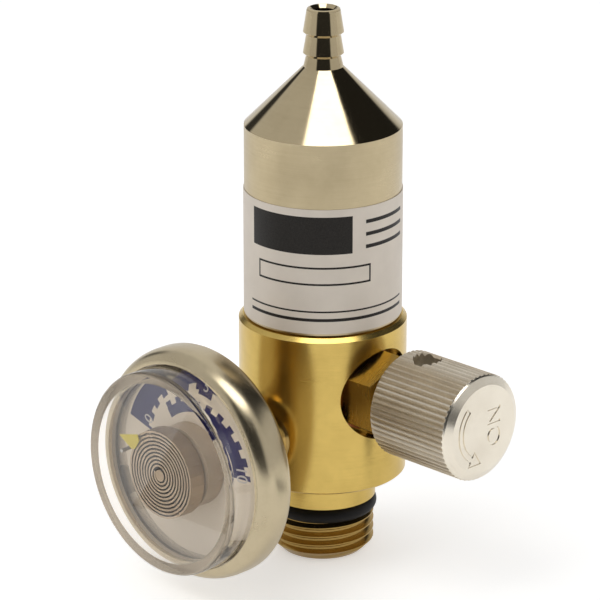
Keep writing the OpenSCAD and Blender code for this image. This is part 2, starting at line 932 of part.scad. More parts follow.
// One side of the spiral tube as a list of points
function coil_side(offset) = [
    for (i = [0:coil_turns * 28])
        let (t = i / 28, r = coil_r(t) + offset, a = zero_angle - 2 + 360 * t)
        [r * cos(a), r * sin(a)]
];

// Side of the spiral tube taken back from its outer end to its inner end
function reversed(v) = [for (i = [len(v) - 1:-1:0]) v[i]];

// Flattened spiral tube that unwinds as the pressure rises
module bourdon_coil() {
    color("#b59a66")
    along_movement()
        translate([0, 0, coil_y])
            linear_extrude(height = coil_w)
                polygon(concat(coil_side(coil_t / 2), reversed(coil_side(-coil_t / 2))));
}

// Pin that the pointer rests against at zero
module stop_pin() {
    color("#9a958a")
    along_movement()
        rotate([0, 0, stop_pin_angle])
            translate([stop_pin_r, 0, 0])
                rod(stop_pin_d, dial_y, pointer_y + pointer_t);
}

// Corner of the pointer, from its distance and its angle behind the tip
function pointer_corner(r, a) = [r * cos(zero_angle + a), r * sin(zero_angle + a)];

// Pointer flag with the tab that clips it to the end of the tube
module pointer() {
    color("#d6c145")
    along_movement() {
        translate([0, 0, pointer_y])
            linear_extrude(height = pointer_t)
                polygon([
                    pointer_corner(pointer_r, 0),
                    pointer_corner(tab_r + 0.4, 2.7),
                    pointer_corner(tab_r - 0.1, -1),
                    pointer_corner(tab_r - 0.1, -15),
                    pointer_corner(tab_r + 0.8, -18.5)
                ]);
        rotate([0, 0, tab_angle])
            translate([tab_r, -tab_w / 2, pointer_y - tab_drop])
                cube([tab_t, tab_w, tab_drop + pointer_t]);
    }
}

// Clear top hat lens with its flange under the rolled rim
module gauge_lens() {
    r = lens_d / 2;
    inner = r - lens_wall;
    color("#dfe4e6", 0.4)
    along_gauge()
    turned(concat(
        [
            [inner, flange_y],
            [flange_d / 2, flange_y],
            [flange_d / 2, flange_y + flange_t],
            [r, flange_y + flange_t]
        ],
        arc(r - lens_round, lens_y - lens_round, lens_round, 0, 90, 5),
        [
            [0, lens_y],
            [0, lens_inner_y],
            [inner, lens_inner_y]
        ]
    ));
}

body();
inlet_oring();
valve_depressor();
inlet_filter();
nozzle();
piston_guide();
guide_oring();
piston_stem_oring();
housing();
orifice_filter();
flow_orifice();
label();
piston();
piston_seat();
piston_oring();
regulator_spring();
gland_nut();
gland_washer();
poppet();
poppet_seal();
valve_stem();
stem_oring();
knob();
knob_set_screw();
gauge_socket();
socket_washer();
gauge_restrictor();
gauge_case();
dial_spacer();
dial();
coil_post();
coil_drum();
bourdon_coil();
stop_pin();
pointer();
gauge_lens();
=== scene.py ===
"""Looks of a fixed flow gas cylinder regulator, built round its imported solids."""

import logging
import math
from dataclasses import dataclass, field
from enum import Enum
from typing import Callable, Iterable, Sequence

import bmesh
import bpy
from mathutils import Matrix, Vector


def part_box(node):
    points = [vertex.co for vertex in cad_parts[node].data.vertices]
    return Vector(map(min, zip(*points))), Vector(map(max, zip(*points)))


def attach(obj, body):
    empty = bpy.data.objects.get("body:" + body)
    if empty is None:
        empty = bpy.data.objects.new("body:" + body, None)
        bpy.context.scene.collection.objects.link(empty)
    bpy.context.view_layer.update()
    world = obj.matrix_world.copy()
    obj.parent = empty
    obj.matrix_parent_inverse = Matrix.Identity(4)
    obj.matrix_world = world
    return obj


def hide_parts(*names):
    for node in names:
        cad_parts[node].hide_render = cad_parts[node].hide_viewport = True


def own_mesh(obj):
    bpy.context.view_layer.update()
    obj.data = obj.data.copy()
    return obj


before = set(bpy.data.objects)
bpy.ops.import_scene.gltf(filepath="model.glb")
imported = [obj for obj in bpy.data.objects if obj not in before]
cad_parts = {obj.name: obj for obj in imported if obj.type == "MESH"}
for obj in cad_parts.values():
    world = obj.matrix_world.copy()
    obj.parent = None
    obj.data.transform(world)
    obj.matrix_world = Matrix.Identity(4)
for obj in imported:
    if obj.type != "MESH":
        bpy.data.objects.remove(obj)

MM = 0.001
IMAGE_PX = 600
GROOVE_GAP = 0.05
FLOOR_GAP = 0.02
LOG = logging.getLogger("regulator")

Color = tuple[float, float, float]


def srgb(red: int, green: int, blue: int) -> Color:
    """Turns 0-255 screen values into the linear colour that Blender uses.

    Args:
        red: Screen red.
        green: Screen green.
        blue: Screen blue.

    Returns:
        The linear colour.
    """
    def linear(value: int) -> float:
        """Linear value of one channel."""
        part = value / 255
        return part / 12.92 if part <= 0.04045 else ((part + 0.055) / 1.055) ** 2.4
    return linear(red), linear(green), linear(blue)


class Axis(Enum):
    """Axis that a piece was turned about."""

    BODY = "z"
    KNOB = "x"
    GAUGE = "y"


# Shader graph


class Signal:
    """A shader socket that takes part in Python arithmetic."""

    def __init__(self, graph: "Graph", socket: bpy.types.NodeSocket) -> None:
        """Wraps a socket of a graph."""
        self.graph = graph
        self.socket = socket

    def _math(self, operation: str, *values: "Signal | float") -> "Signal":
        """Adds one Math node over this signal and the values."""
        return self.graph.math(operation, *values)

    def __add__(self, other: "Signal | float") -> "Signal":
        """Sum."""
        return self._math("ADD", self, other)

    __radd__ = __add__

    def __sub__(self, other: "Signal | float") -> "Signal":
        """Difference."""
        return self._math("SUBTRACT", self, other)

    def __rsub__(self, other: "Signal | float") -> "Signal":
        """Reflected difference."""
        return self._math("SUBTRACT", other, self)

    def __mul__(self, other: "Signal | float") -> "Signal":
        """Product."""
        return self._math("MULTIPLY", self, other)

    __rmul__ = __mul__

    def __truediv__(self, other: "Signal | float") -> "Signal":
        """Quotient."""
        return self._math("DIVIDE", self, other)

    def __gt__(self, other: "Signal | float") -> "Signal":
        """1 where this is more than the other."""
        return self._math("GREATER_THAN", self, other)

    def __lt__(self, other: "Signal | float") -> "Signal":
        """1 where this is less than the other."""
        return self._math("LESS_THAN", self, other)

    def absolute(self) -> "Signal":
        """Distance from zero."""
        return self._math("ABSOLUTE", self)

    def fraction(self) -> "Signal":
        """Part after the decimal point."""
        return self._math("FRACT", self)

    def clamped(self) -> "Signal":
        """Value held between 0 and 1."""
        return self._math("MINIMUM", self._math("MAXIMUM", self, 0.0), 1.0)

    def between(self, low: "Signal | float", high: "Signal | float") -> "Signal":
        """1 where this lies between two values."""
        return (self > low) * (self < high)

    def ramp(self, low: float, high: float) -> "Signal":
        """Runs smoothly from 0 at low to 1 at high."""
        return self.graph.node(
            "ShaderNodeMapRange", {"interpolation_type": "SMOOTHSTEP"},
            {"Value": self, "From Min": low, "From Max": high}, "Result")


class Graph:
    """Node tree of one material, with its shader and its Object coordinates."""

    def __init__(self, name: str) -> None:
        """Starts an empty material.

        Args:
            name: Name of the material.
        """
        self.material = bpy.data.materials.new(name)
        self.material.use_nodes = True
        self.tree = self.material.node_tree
        self.tree.nodes.clear()
        self.output = self.tree.nodes.new("ShaderNodeOutputMaterial")
        self.shader = self.tree.nodes.new("ShaderNodeBsdfPrincipled")
        self.tree.links.new(self.shader.outputs["BSDF"], self.output.inputs["Surface"])
        self.place = self.node("ShaderNodeTexCoord", {}, {}, "Object")

    def feed(self, socket: bpy.types.NodeSocket, value: object) -> None:
        """Sets a socket from a number, a colour or a signal."""
        if isinstance(value, Signal):
            self.tree.links.new(value.socket, socket)
        elif isinstance(value, (tuple, list)) and socket.type == "RGBA" and len(value) == 3:
            socket.default_value = (*value, 1.0)
        else:
            socket.default_value = value

    def node(self, kind: str, settings: dict, values: dict, output: str | int = 0) -> Signal:
        """Adds any node.

        Args:
            kind: Blender's type name of the node.
            settings: Properties that are set first; "stops" fills a colour ramp.
            values: Values or signals of its inputs, by name or number.
            output: Name or number of the output that is wanted.

        Returns:
            The output as a signal.
        """
        made = self.tree.nodes.new(kind)
        for key, value in settings.items():
            if key == "stops":
                self._stops(made.color_ramp, value)
            else:
                setattr(made, key, value)
        for key, value in values.items():
            self.feed(made.inputs[key], value)
        return Signal(self, made.outputs[output])

    def _stops(self, ramp: bpy.types.ColorRamp, stops: Sequence[tuple[float, Color]]) -> None:
        """Fills a colour ramp with positions and colours."""
        while len(ramp.elements) < len(stops):
            ramp.elements.new(0.5)
        for element, (position, color) in zip(ramp.elements, stops):
            element.position = position
            element.color = (*color, 1.0)

    def math(self, operation: str, *values: "Signal | float") -> Signal:
        """Adds a Math node over signals and numbers."""
        return self.node("ShaderNodeMath", {"operation": operation}, dict(enumerate(values)))

    def mix(self, factor: "Signal | float", first: object, second: object) -> Signal:
        """Blends two colours by a factor."""
        made = self.tree.nodes.new("ShaderNodeMix")
        made.data_type = "RGBA"
        color_inputs = [i for i in made.inputs if i.type == "RGBA"]
        self.feed(made.inputs[0], factor)
        self.feed(color_inputs[0], first)
        self.feed(color_inputs[1], second)
        return Signal(self, next(o for o in made.outputs if o.type == "RGBA"))

    def millimetres(self) -> tuple[Signal, Signal, Signal]:
        """Object coordinates in millimetres, one signal for each axis."""
        parts = [self.node("ShaderNodeSeparateXYZ", {}, {0: self.place}, i) for i in range(3)]
        return tuple(part * 1000.0 for part in parts)

    def stretched(self, scale: Sequence[float]) -> Signal:
        """Object coordinates with a scale on each axis."""
        return self.node("ShaderNodeMapping", {}, {"Vector": self.place, "Scale": tuple(scale)})

    def noise(self, vector: Signal, scale: float, detail: float = 3.0,
              rough: float = 0.55) -> Signal:
        """Noise of 0 to 1 over a vector."""
        return self.node("ShaderNodeTexNoise", {},
                         {"Vector": vector, "Scale": scale, "Detail": detail, "Roughness": rough})

    def bump(self, height: Signal, strength: float, distance: float) -> None:
        """Feeds the shader's Normal from a height."""
        normal = self.node("ShaderNodeBump", {},
                           {"Height": height, "Strength": strength, "Distance": distance})
        self.feed(self.shader.inputs["Normal"], normal)

    def set(self, **values: object) -> None:
        """Sets shader sockets; a double underscore in a name stands for a space."""
        for key, value in values.items():
            self.feed(self.shader.inputs[key.replace("__", " ")], value)


class WorldGraph(Graph):
    """Node tree of the world, which is read by direction."""

    def __init__(self, world: bpy.types.World) -> None:
        """Empties the world's tree.

        Args:
            world: The world that is lit.
        """
        self.tree = world.node_tree
        self.tree.nodes.clear()
        self.place = self.node("ShaderNodeTexCoord", {}, {}, "Generated")

    def ray(self, kind: str) -> Signal:
        """1 for rays of that kind."""
        return self.node("ShaderNodeLightPath", {}, {}, kind)

    def directions(self, middle: float) -> tuple[Signal, Signal]:
        """Turn to the right of a middle azimuth and rise above level, in degrees."""
        x, y, z = (self.node("ShaderNodeSeparateXYZ", {}, {0: self.place}, i) for i in range(3))
        sine, cosine = math.sin(math.radians(middle)), math.cos(math.radians(middle))
        turn = self.math("ARCTAN2", x * cosine + y * sine, x * sine - y * cosine)
        return turn * math.degrees(1.0), self.math("ARCSINE", z) * math.degrees(1.0)

    def throw(self, strength: Signal) -> None:
        """Lights the world with white of a strength."""
        light = self.tree.nodes.new("ShaderNodeBackground")
        self.feed(light.inputs["Strength"], strength)
        out = self.tree.nodes.new("ShaderNodeOutputWorld")
        self.tree.links.new(light.outputs[0], out.inputs["Surface"])


# Finishes


@dataclass(frozen=True)
class TurnedMetal:
    """Metal off the lathe, with fine rings, soft stains, a polished or satin sheen and painted shade
    outside the polished band.
    """

    name: str
    color: Color
    deep: Color
    axis: Axis
    center: tuple[float, float, float] = (0.0, 0.0, 0.0)
    roughness: float = 0.3
    rings: float = 0.15
    ring_pitch: float = 0.12
    stain: float = 0.35
    polished: tuple[float, float] | None = None
    polished_roughness: float = 0.08
    painted_shade: float = 0.0
    recolor_below: float | None = None
    lower_color: Color = (0.0, 0.0, 0.0)

    def build(self) -> bpy.types.Material:
        """Makes the material.

        Returns:
            The finished material.
        """
        g = Graph(self.name)
        scale = [120.0, 120.0, 120.0]
        along = {"x": 0, "y": 1, "z": 2}[self.axis.value]
        scale[along] = 1000.0 / self.ring_pitch
        lines = g.noise(g.stretched(scale), 1.0, 2.0)
        fine = g.noise(g.stretched([3.0 * s if i == along else s for i, s in enumerate(scale)]), 1.0)
        cloud = g.noise(g.place, 160.0, 4.0)
        blot = g.noise(g.place, 900.0, 3.0)
        tone = ((cloud - 0.35) * 1.6 + (lines - 0.5) * 0.6 + (blot - 0.5) * 0.5).clamped()
        shine = 0.0
        if self.polished is not None:
            shine = g.millimetres()[along].between(*self.polished)
        # Painted shade: outside the polished band the colour darkens by painted_shade, which on the
        # knob stands for the shade in its knurling.
        tone = (tone * self.stain + self.painted_shade * (1.0 - shine)).clamped()
        color = g.mix(tone, self.color, self.deep)
        # Below recolor_below the colour turns to lower_color, a darker brass on the spigot.
        if self.recolor_below is not None:
            color = g.mix(g.millimetres()[along] < self.recolor_below, color, self.lower_color)
        rough = self.roughness + (cloud - 0.5) * 0.12 + (lines - 0.5) * 0.1
        bump = lines * 0.7 + fine * 0.3
        if self.polished is not None:
            rough = rough * (1.0 - shine) + shine * (self.polished_roughness + (cloud - 0.5) * 0.04)
            bump = bump * (1.0 - shine * 0.85)
        g.set(Base__Color=color, Metallic=1.0, Roughness=rough)
        g.bump(bump, self.rings, 0.00002)
        return g.material


@dataclass(frozen=True)
class PlainMetal:
    """Plated or drawn metal without lathe marks."""

    name: str
    color: Color
    deep: Color
    roughness: float = 0.25
    grain: float = 0.08
    stain: float = 0.35

    def build(self) -> bpy.types.Material:
        """Makes the material.

        Returns:
            The finished material.
        """
        g = Graph(self.name)
        cloud = g.noise(g.place, 220.0, 4.0)
        speck = g.noise(g.place, 2600.0, 2.0)
        tone = ((cloud - 0.4) * 1.8 + (speck - 0.5) * 0.5).clamped()
        g.set(Base__Color=g.mix(tone * self.stain, self.color, self.deep), Metallic=1.0,
              Roughness=self.roughness + (cloud - 0.5) * 0.1 + (speck - 0.5) * 0.06)
        g.bump(speck, self.grain, 0.00003)
        return g.material


@dataclass(frozen=True)
class SoftPart:
    """Rubber, soft plastic or moulded plastic."""

    name: str
    color: Color
    deep: Color
    roughness: float = 0.6
    grain: float = 0.15
    sheen_level: float = 0.5

    def build(self) -> bpy.types.Material:
        """Makes the material.

        Returns:
            The finished material.
        """
        g = Graph(self.name)
        cloud = g.noise(g.place, 300.0, 3.0)
        speck = g.noise(g.place, 4000.0, 2.0)
        g.set(Base__Color=g.mix(cloud, self.color, self.deep), Metallic=0.0,
              Specular__IOR__Level=self.sheen_level,
              Roughness=self.roughness + (cloud - 0.5) * 0.2)
        g.bump(speck, self.grain, 0.00004)
        return g.material


@dataclass(frozen=True)
class Sintered:
    """Pressed and fired metal powder."""

    name: str
    color: Color
    deep: Color
    grain_mm: float = 0.16

    def build(self) -> bpy.types.Material:
        """Makes the material.

        Returns:
            The finished material.
        """
        g = Graph(self.name)
        cells = g.node("ShaderNodeTexVoronoi", {},
                       {"Vector": g.place, "Scale": 1000.0 / self.grain_mm}, "Distance")
        g.set(Base__Color=g.mix(cells.ramp(0.1, 0.7), self.color, self.deep), Metallic=1.0,
              Roughness=0.45 + cells * 0.3)
        g.bump(1.0 - cells, 0.8, 0.00008)
        return g.material


@dataclass(frozen=True)
class ClearPlastic:
    """Moulded clear plastic with faint scuffs."""

    name: str
    tint: Color
    ior: float = 1.5
    roughness: float = 0.02

    def build(self) -> bpy.types.Material:
        """Makes the material, which lets light through to what it covers.

        Returns:
            The finished material.
        """
        g = Graph(self.name)
        scuff = g.noise(g.stretched((60.0, 60.0, 900.0)), 1.0, 2.0).ramp(0.62, 0.8)
        haze = g.noise(g.place, 140.0, 3.0)
        g.set(Base__Color=self.tint, Metallic=0.0, IOR=self.ior, Transmission__Weight=1.0,
              Roughness=self.roughness + scuff * 0.05 + haze * 0.02)
        clear = g.tree.nodes.new("ShaderNodeBsdfTransparent")
        clear.inputs["Color"].default_value = (0.98, 0.97, 0.95, 1.0)
        shadow = g.node("ShaderNodeLightPath", {}, {}, "Is Shadow Ray")
        diffuse = g.node("ShaderNodeLightPath", {}, {}, "Is Diffuse Ray")
        blend = g.tree.nodes.new("ShaderNodeMixShader")
        g.feed(blend.inputs[0], g.math("MAXIMUM", shadow, diffuse))
        g.tree.links.new(g.shader.outputs["BSDF"], blend.inputs[1])
        g.tree.links.new(clear.outputs["BSDF"], blend.inputs[2])
        g.tree.links.new(blend.outputs["Shader"], g.output.inputs["Surface"])
        return g.material


@dataclass(frozen=True)
class FoilLabel:
    """Silvered label with a plain printed layout of a block and rules."""

    name: str
    low: float
    high: float
    facing: float
    radius: float
    ground: Color = srgb(228, 218, 205)
    ink: Color = srgb(18, 15, 13)

    def build(self) -> bpy.types.Material:
        """Makes the material.

        Returns:
            The finished material.
        """
        g = Graph(self.name)
        x, y, z = g.millimetres()
        angle = g.math("ARCTAN2", y, x)
        across = (angle - self.facing) * self.radius
        span = self.high - self.low
        up = (z - self.low) / span
        block = across.between(-12.4, 4.4) * up.between(0.642, 0.941)
        rules = across.between(6.6, 15.4) * (up * 10.0 + 0.34).fraction().between(0.0, 0.3)
        rules = rules * up.between(0.656, 0.92)
        field = across.between(-11.0, 7.5) * up.between(0.392, 0.54)
        field = field - across.between(-10.72, 7.22) * up.between(0.408, 0.524)
        foot = across.between(-13.0, 15.4) * (up.between(0.1, 0.125) + up.between(0.172, 0.186))
        ink = g.math("MINIMUM", block + rules + field + foot, 1.0)
        speck = g.noise(g.place, 5200.0, 2.0)
        cloud = g.noise(g.place, 260.0, 3.0)
        ground = g.mix((cloud - 0.3).clamped() * 0.5, self.ground, srgb(196, 187, 176))
        g.set(Base__Color=g.mix(ink * (0.96 + speck * 0.04), ground, self.ink),
              Specular__IOR__Level=0.2,
              Metallic=0.25 * (1.0 - ink), Roughness=0.42 + cloud * 0.1 - ink * 0.08)
        g.bump(speck * 0.4 + ink * 0.6, 0.12, 0.00003)
        return g.material


@dataclass(frozen=True)
class PrintedDial:
    """Dial sheet printed with two tapering toothed bands."""

    name: str
    height: float
    zero_angle: float
    sweep: float
    ground: Color = srgb(238, 226, 208)
    ink: Color = srgb(20, 18, 92)

    def build(self) -> bpy.types.Material:
        """Makes the material.

        Returns:
            The finished material.
        """
        g = Graph(self.name)
        x, _, z = g.millimetres()
        up = z - self.height
        angle = g.math("ARCTAN2", up, x)
        radius = g.math("SQRT", x * x + up * up)
        run = (self.zero_angle - angle) / self.sweep
        outer = self._outer(run, radius)
        inner = self._inner(run, radius)
        ticks = radius.between(12.6, 14.0) * g.math(
            "MAXIMUM", run.between(0.7, 0.716), run.between(0.985, 1.0))
        turn = angle * math.degrees(1.0)
        box = turn.between(70.0, 83.0) * radius.between(11.3, 14.2)
        ink = g.math("MAXIMUM", g.math("MAXIMUM", outer, inner), g.math("MAXIMUM", ticks, box))
        cloud = g.noise(g.place, 180.0, 3.0)
        speck = g.noise(g.place, 6000.0, 2.0)
        ground = g.mix(cloud * 0.5, self.ground, srgb(222, 208, 190))
        g.set(Base__Color=g.mix(ink * (0.94 + speck * 0.06), ground, self.ink), Metallic=0.0,
              Roughness=0.4 + cloud * 0.1, Specular__IOR__Level=0.2)
        g.bump(speck, 0.05, 0.00002)
        return g.material

    def _outer(self, run: Signal, radius: Signal) -> Signal:
        """Outer band, widest at zero, with teeth on its inner edge."""
        tooth = (run * 12.0 + 0.3).fraction() > 0.5
        edge = 8.7 + run.clamped() * 6.4 + tooth * 0.75
        return run.between(0.0, 0.8) * radius.between(edge, 13.4 + run.clamped() * 1.6)

    def _inner(self, run: Signal, radius: Signal) -> Signal:
        """Inner band, widest at full scale, with teeth on its outer edge."""
        tooth = (run * 12.0 + 0.8).fraction() > 0.5
        start = 6.7 + run.clamped() * 2.2
        edge = 8.0 + run.clamped() * 3.0 + tooth * 0.8
        return run.between(0.22, 1.0) * radius.between(start, edge)


@dataclass(frozen=True)
class Paint:
    """Thin sprayed paint on sheet."""

    name: str
    color: Color
    deep: Color

    def build(self) -> bpy.types.Material:
        """Makes the material.

        Returns:
            The finished material.
        """
        g = Graph(self.name)
        peel = g.noise(g.place, 2400.0, 2.0)
        cloud = g.noise(g.place, 500.0, 3.0)
        g.set(Base__Color=g.mix(cloud, self.color, self.deep), Roughness=0.45 + cloud * 0.1)
        g.bump(peel, 0.1, 0.00003)
        return g.material


# Mesh helpers


def finish_mesh(name: str, mesh: bmesh.types.BMesh, material: bpy.types.Material,
                smooth_deg: float = 35.0) -> bpy.types.Object:
    """Turns a bmesh into an object at the origin.

    Args:
        name: Name of the new piece.
        mesh: Its geometry in metres, in the shared frame.
        material: Its finish.
        smooth_deg: Edges sharper than this stay sharp.

    Returns:
        The new object.
    """
    data = bpy.data.meshes.new(name)
    for face in mesh.faces:
        face.smooth = True
    limit = math.radians(smooth_deg)
    for edge in mesh.edges:
        if len(edge.link_faces) == 2 and edge.calc_face_angle(0.0) > limit:
            edge.smooth = False
    mesh.to_mesh(data)
    mesh.free()
    data.materials.append(material)
    piece = bpy.data.objects.new(name, data)
    bpy.context.scene.collection.objects.link(piece)
    return piece


def copy_of(node: str) -> bmesh.types.BMesh:
    """Merged copy of a solid's mesh."""
    mesh = bmesh.new()
    mesh.from_mesh(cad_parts[node].data)
    bmesh.ops.remove_doubles(mesh, verts=mesh.verts, dist=1e-7)
    return mesh


def dress(node: str, material: bpy.types.Material, smooth_deg: float = 35.0) -> None:
    """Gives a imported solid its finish.

    Args:
        node: Name of the solid.
        material: Its finish.
        smooth_deg: Not used on the mesh, whose shading comes with it.
    """
    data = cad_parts[node].data
    data.materials.clear()
    data.materials.append(material)


def revolve(mesh: bmesh.types.BMesh, outline: Iterable[tuple[float, float]], steps: int = 96) -> None:
    """Adds a full turn of an outline of radius and height pairs, in millimetres, about Z."""
    verts = [mesh.verts.new((r * MM, 0.0, z * MM)) for r, z in outline]
    edges = [mesh.edges.new(pair) for pair in zip(verts, verts[1:])]
    bmesh.ops.spin(mesh, geom=verts + edges, cent=(0, 0, 0), axis=(0, 0, 1), dvec=(0, 0, 0),
                   angle=2 * math.pi, steps=steps, use_merge=True, use_duplicate=False)


def box_mm(node: str) -> tuple[Vector, Vector]:
    """Two corners of a solid's box at rest, in millimetres."""
    low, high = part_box(node)
    return low / MM, high / MM


@dataclass(frozen=True)
class Places:
    """Heights and distances, in millimetres, that the looks take from the solids."""

    spigot_z: float
    groove_z: float
    knob_face_x: float
    knob_z: float
    dial_y: float
    rim_y: float
    pointer_y: float
    gauge_z: float
    label_low: float
    label_high: float
    tip_z: float
    spring_low: float
    spring_high: float

    @classmethod
    def read(cls) -> "Places":
        """Reads them from the boxes of the solids.

        Returns:
            The places of this frame.
        """
        knob_low, knob_high = box_mm("knob")
        case_low, case_high = box_mm("gauge_case")
        return cls(
            spigot_z=box_mm("body")[0].z, groove_z=box_mm("inlet_oring")[0].z,
            knob_face_x=knob_high.x, knob_z=(knob_low.z + knob_high.z) / 2,
            dial_y=box_mm("dial")[0].y, rim_y=case_low.y,
            pointer_y=box_mm("pointer")[0].y, gauge_z=(case_low.z + case_high.z) / 2,
            label_low=box_mm("label")[0].z, label_high=box_mm("label")[1].z,
            tip_z=box_mm("housing")[1].z, spring_low=box_mm("regulator_spring")[0].z,
            spring_high=box_mm("regulator_spring")[1].z)


# Sub-assemblies


@dataclass
class ThreadedBody:
    """Brass body whose spigot carries a real screw thread."""

    top: float
    bottom: float
    major_r: float = 7.9375
    pitch: float = 25.4 / 18
    chamfer: float = 1.5
    bore_r: float = 3.6
    gland_r: float = 5.95
    steps: int = 120
    depth: float = 0.76

    def build(self, brass: bpy.types.Material) -> bpy.types.Object:
        """Makes the threaded copy of the body.

        Args:
            brass: Finish of the body.

        Returns:
            The piece that stands for the body.
        """
        mesh = copy_of("body")
        cut = (self.top + 0.06) * MM
        bmesh.ops.bisect_plane(mesh, geom=mesh.verts[:] + mesh.edges[:] + mesh.faces[:],
                               plane_co=(0, 0, cut), plane_no=(0, 0, 1), clear_inner=True)
        self._thread(mesh)
        piece = finish_mesh("threaded_body", mesh, brass)
        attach(piece, "regulator")
        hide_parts("body")
        return piece

    def _outline(self) -> list[tuple[float, float]]:
        """Thread outline from below the spigot to above it."""
        crest, root = self.major_r, self.major_r - self.depth
        points = []
        turns = int((self.top - self.bottom) / self.pitch) + 3
        for turn in range(turns):
            base = self.bottom - 1.5 * self.pitch + turn * self.pitch
            for part, radius in ((0.0, root), (0.22, root), (0.34, root + 0.25 * self.depth),
                                 (0.46, root + 0.62 * self.depth), (0.545, crest),
                                 (0.675, crest), (0.76, root + 0.62 * self.depth),
                                 (0.88, root + 0.25 * self.depth)):
                points.append((radius, base + part * self.pitch))
        return points

    def _thread(self, mesh: bmesh.types.BMesh) -> None:
        """Winds the thread, trims it to the spigot and closes its ends."""
        screw = bmesh.new()
        verts = [screw.verts.new((r * MM, 0.0, z * MM)) for r, z in self._outline()]
        edges = [screw.edges.new(pair) for pair in zip(verts, verts[1:])]
        bmesh.ops.spin(screw, geom=verts + edges, cent=(0, 0, 0), axis=(0, 0, 1),
                       dvec=(0, 0, self.pitch * MM / self.steps), angle=2 * math.pi,
                       steps=self.steps, use_merge=False, use_duplicate=False)
        bmesh.ops.remove_doubles(screw, verts=screw.verts, dist=2e-6)
        for z, normal in ((self.top, 1), (self.bottom, -1)):
            bmesh.ops.bisect_plane(screw, geom=screw.verts[:] + screw.edges[:] + screw.faces[:],
                                   plane_co=(0, 0, z * MM), plane_no=(0, 0, normal),
                                   clear_outer=True)
        end_r = self.major_r - self.chamfer
        for vert in screw.verts:
            radius = vert.co.xy.length
            limit = (end_r + max(vert.co.z / MM - self.bottom, 0.0)) * MM
            if radius > limit:
                vert.co.xy *= limit / radius
        self._cap(screw, self.top, self.gland_r - 0.1, 0.2)
        self._cap(screw, self.bottom, self.bore_r, 0.0)
        bmesh.ops.recalc_face_normals(screw, faces=screw.faces)
        data = bpy.data.meshes.new("thread_part")
        screw.to_mesh(data)
        screw.free()
        mesh.from_mesh(data)
        bpy.data.meshes.remove(data)
        bore = bmesh.new()
        revolve(bore, [(self.bore_r, self.bottom), (self.bore_r, self.top + 0.06)])
        for face in bore.faces:
            if face.normal.dot(face.calc_center_median() * Vector((1, 1, 0))) > 0:
                face.normal_flip()
        data = bpy.data.meshes.new("bore_part")
        bore.to_mesh(data)
        bore.free()
        mesh.from_mesh(data)
        bpy.data.meshes.remove(data)

    def _cap(self, screw: bmesh.types.BMesh, z: float, inner_r: float, rise: float) -> None:
        """Closes one end of the thread with a flat ring down to a radius."""
        rim = [e for e in screw.edges if e.is_boundary
               and all(abs(v.co.z / MM - z) < 0.002 for v in e.verts)]
        made = bmesh.ops.extrude_edge_only(screw, edges=rim)["geom"]
        inner = [v for v in made if isinstance(v, bmesh.types.BMVert)]
        for vert in inner:
            vert.co.xy *= inner_r * MM / vert.co.xy.length
        if rise:
            edges = [e for e in made if isinstance(e, bmesh.types.BMEdge)
                     and all(v in inner for v in e.verts)]
            lifted = bmesh.ops.extrude_edge_only(screw, edges=edges)["geom"]
            for vert in (v for v in lifted if isinstance(v, bmesh.types.BMVert)):
                vert.co.z += rise * MM


class Word(Enum):
    """Plain marks that the piece may carry."""

    ON = "ON"
    ZERO = "0"
    FIVE = "5"
    TEN = "10"


def mark_mesh(word: Word, size: float, depth: float) -> bmesh.types.BMesh:
    """Solid of a mark in its own plane, centred, in millimetres of size.

    Args:
        word: The mark.
        size: Height of its letters in millimetres.
        depth: Thickness in millimetres.

    Returns:
        The solid, in metres, facing +Z and reading along +X.
    """
    curve = bpy.data.curves.new("mark", "FONT")
    curve.body = word.value
    curve.size = size * MM * 1.4
    curve.align_x = "CENTER"
    curve.align_y = "CENTER"
    curve.extrude = depth * MM / 2
    curve.resolution_u = 6
    holder = bpy.data.objects.new("mark", curve)
    bpy.context.scene.collection.objects.link(holder)
    bpy.context.view_layer.update()
    data = bpy.data.meshes.new_from_object(holder.evaluated_get(
        bpy.context.evaluated_depsgraph_get()))
    mesh = bmesh.new()
    mesh.from_mesh(data)
    bmesh.ops.remove_doubles(mesh, verts=mesh.verts, dist=1e-7)
    bpy.data.objects.remove(holder)
    bpy.data.curves.remove(curve)
    bpy.data.meshes.remove(data)
    return mesh


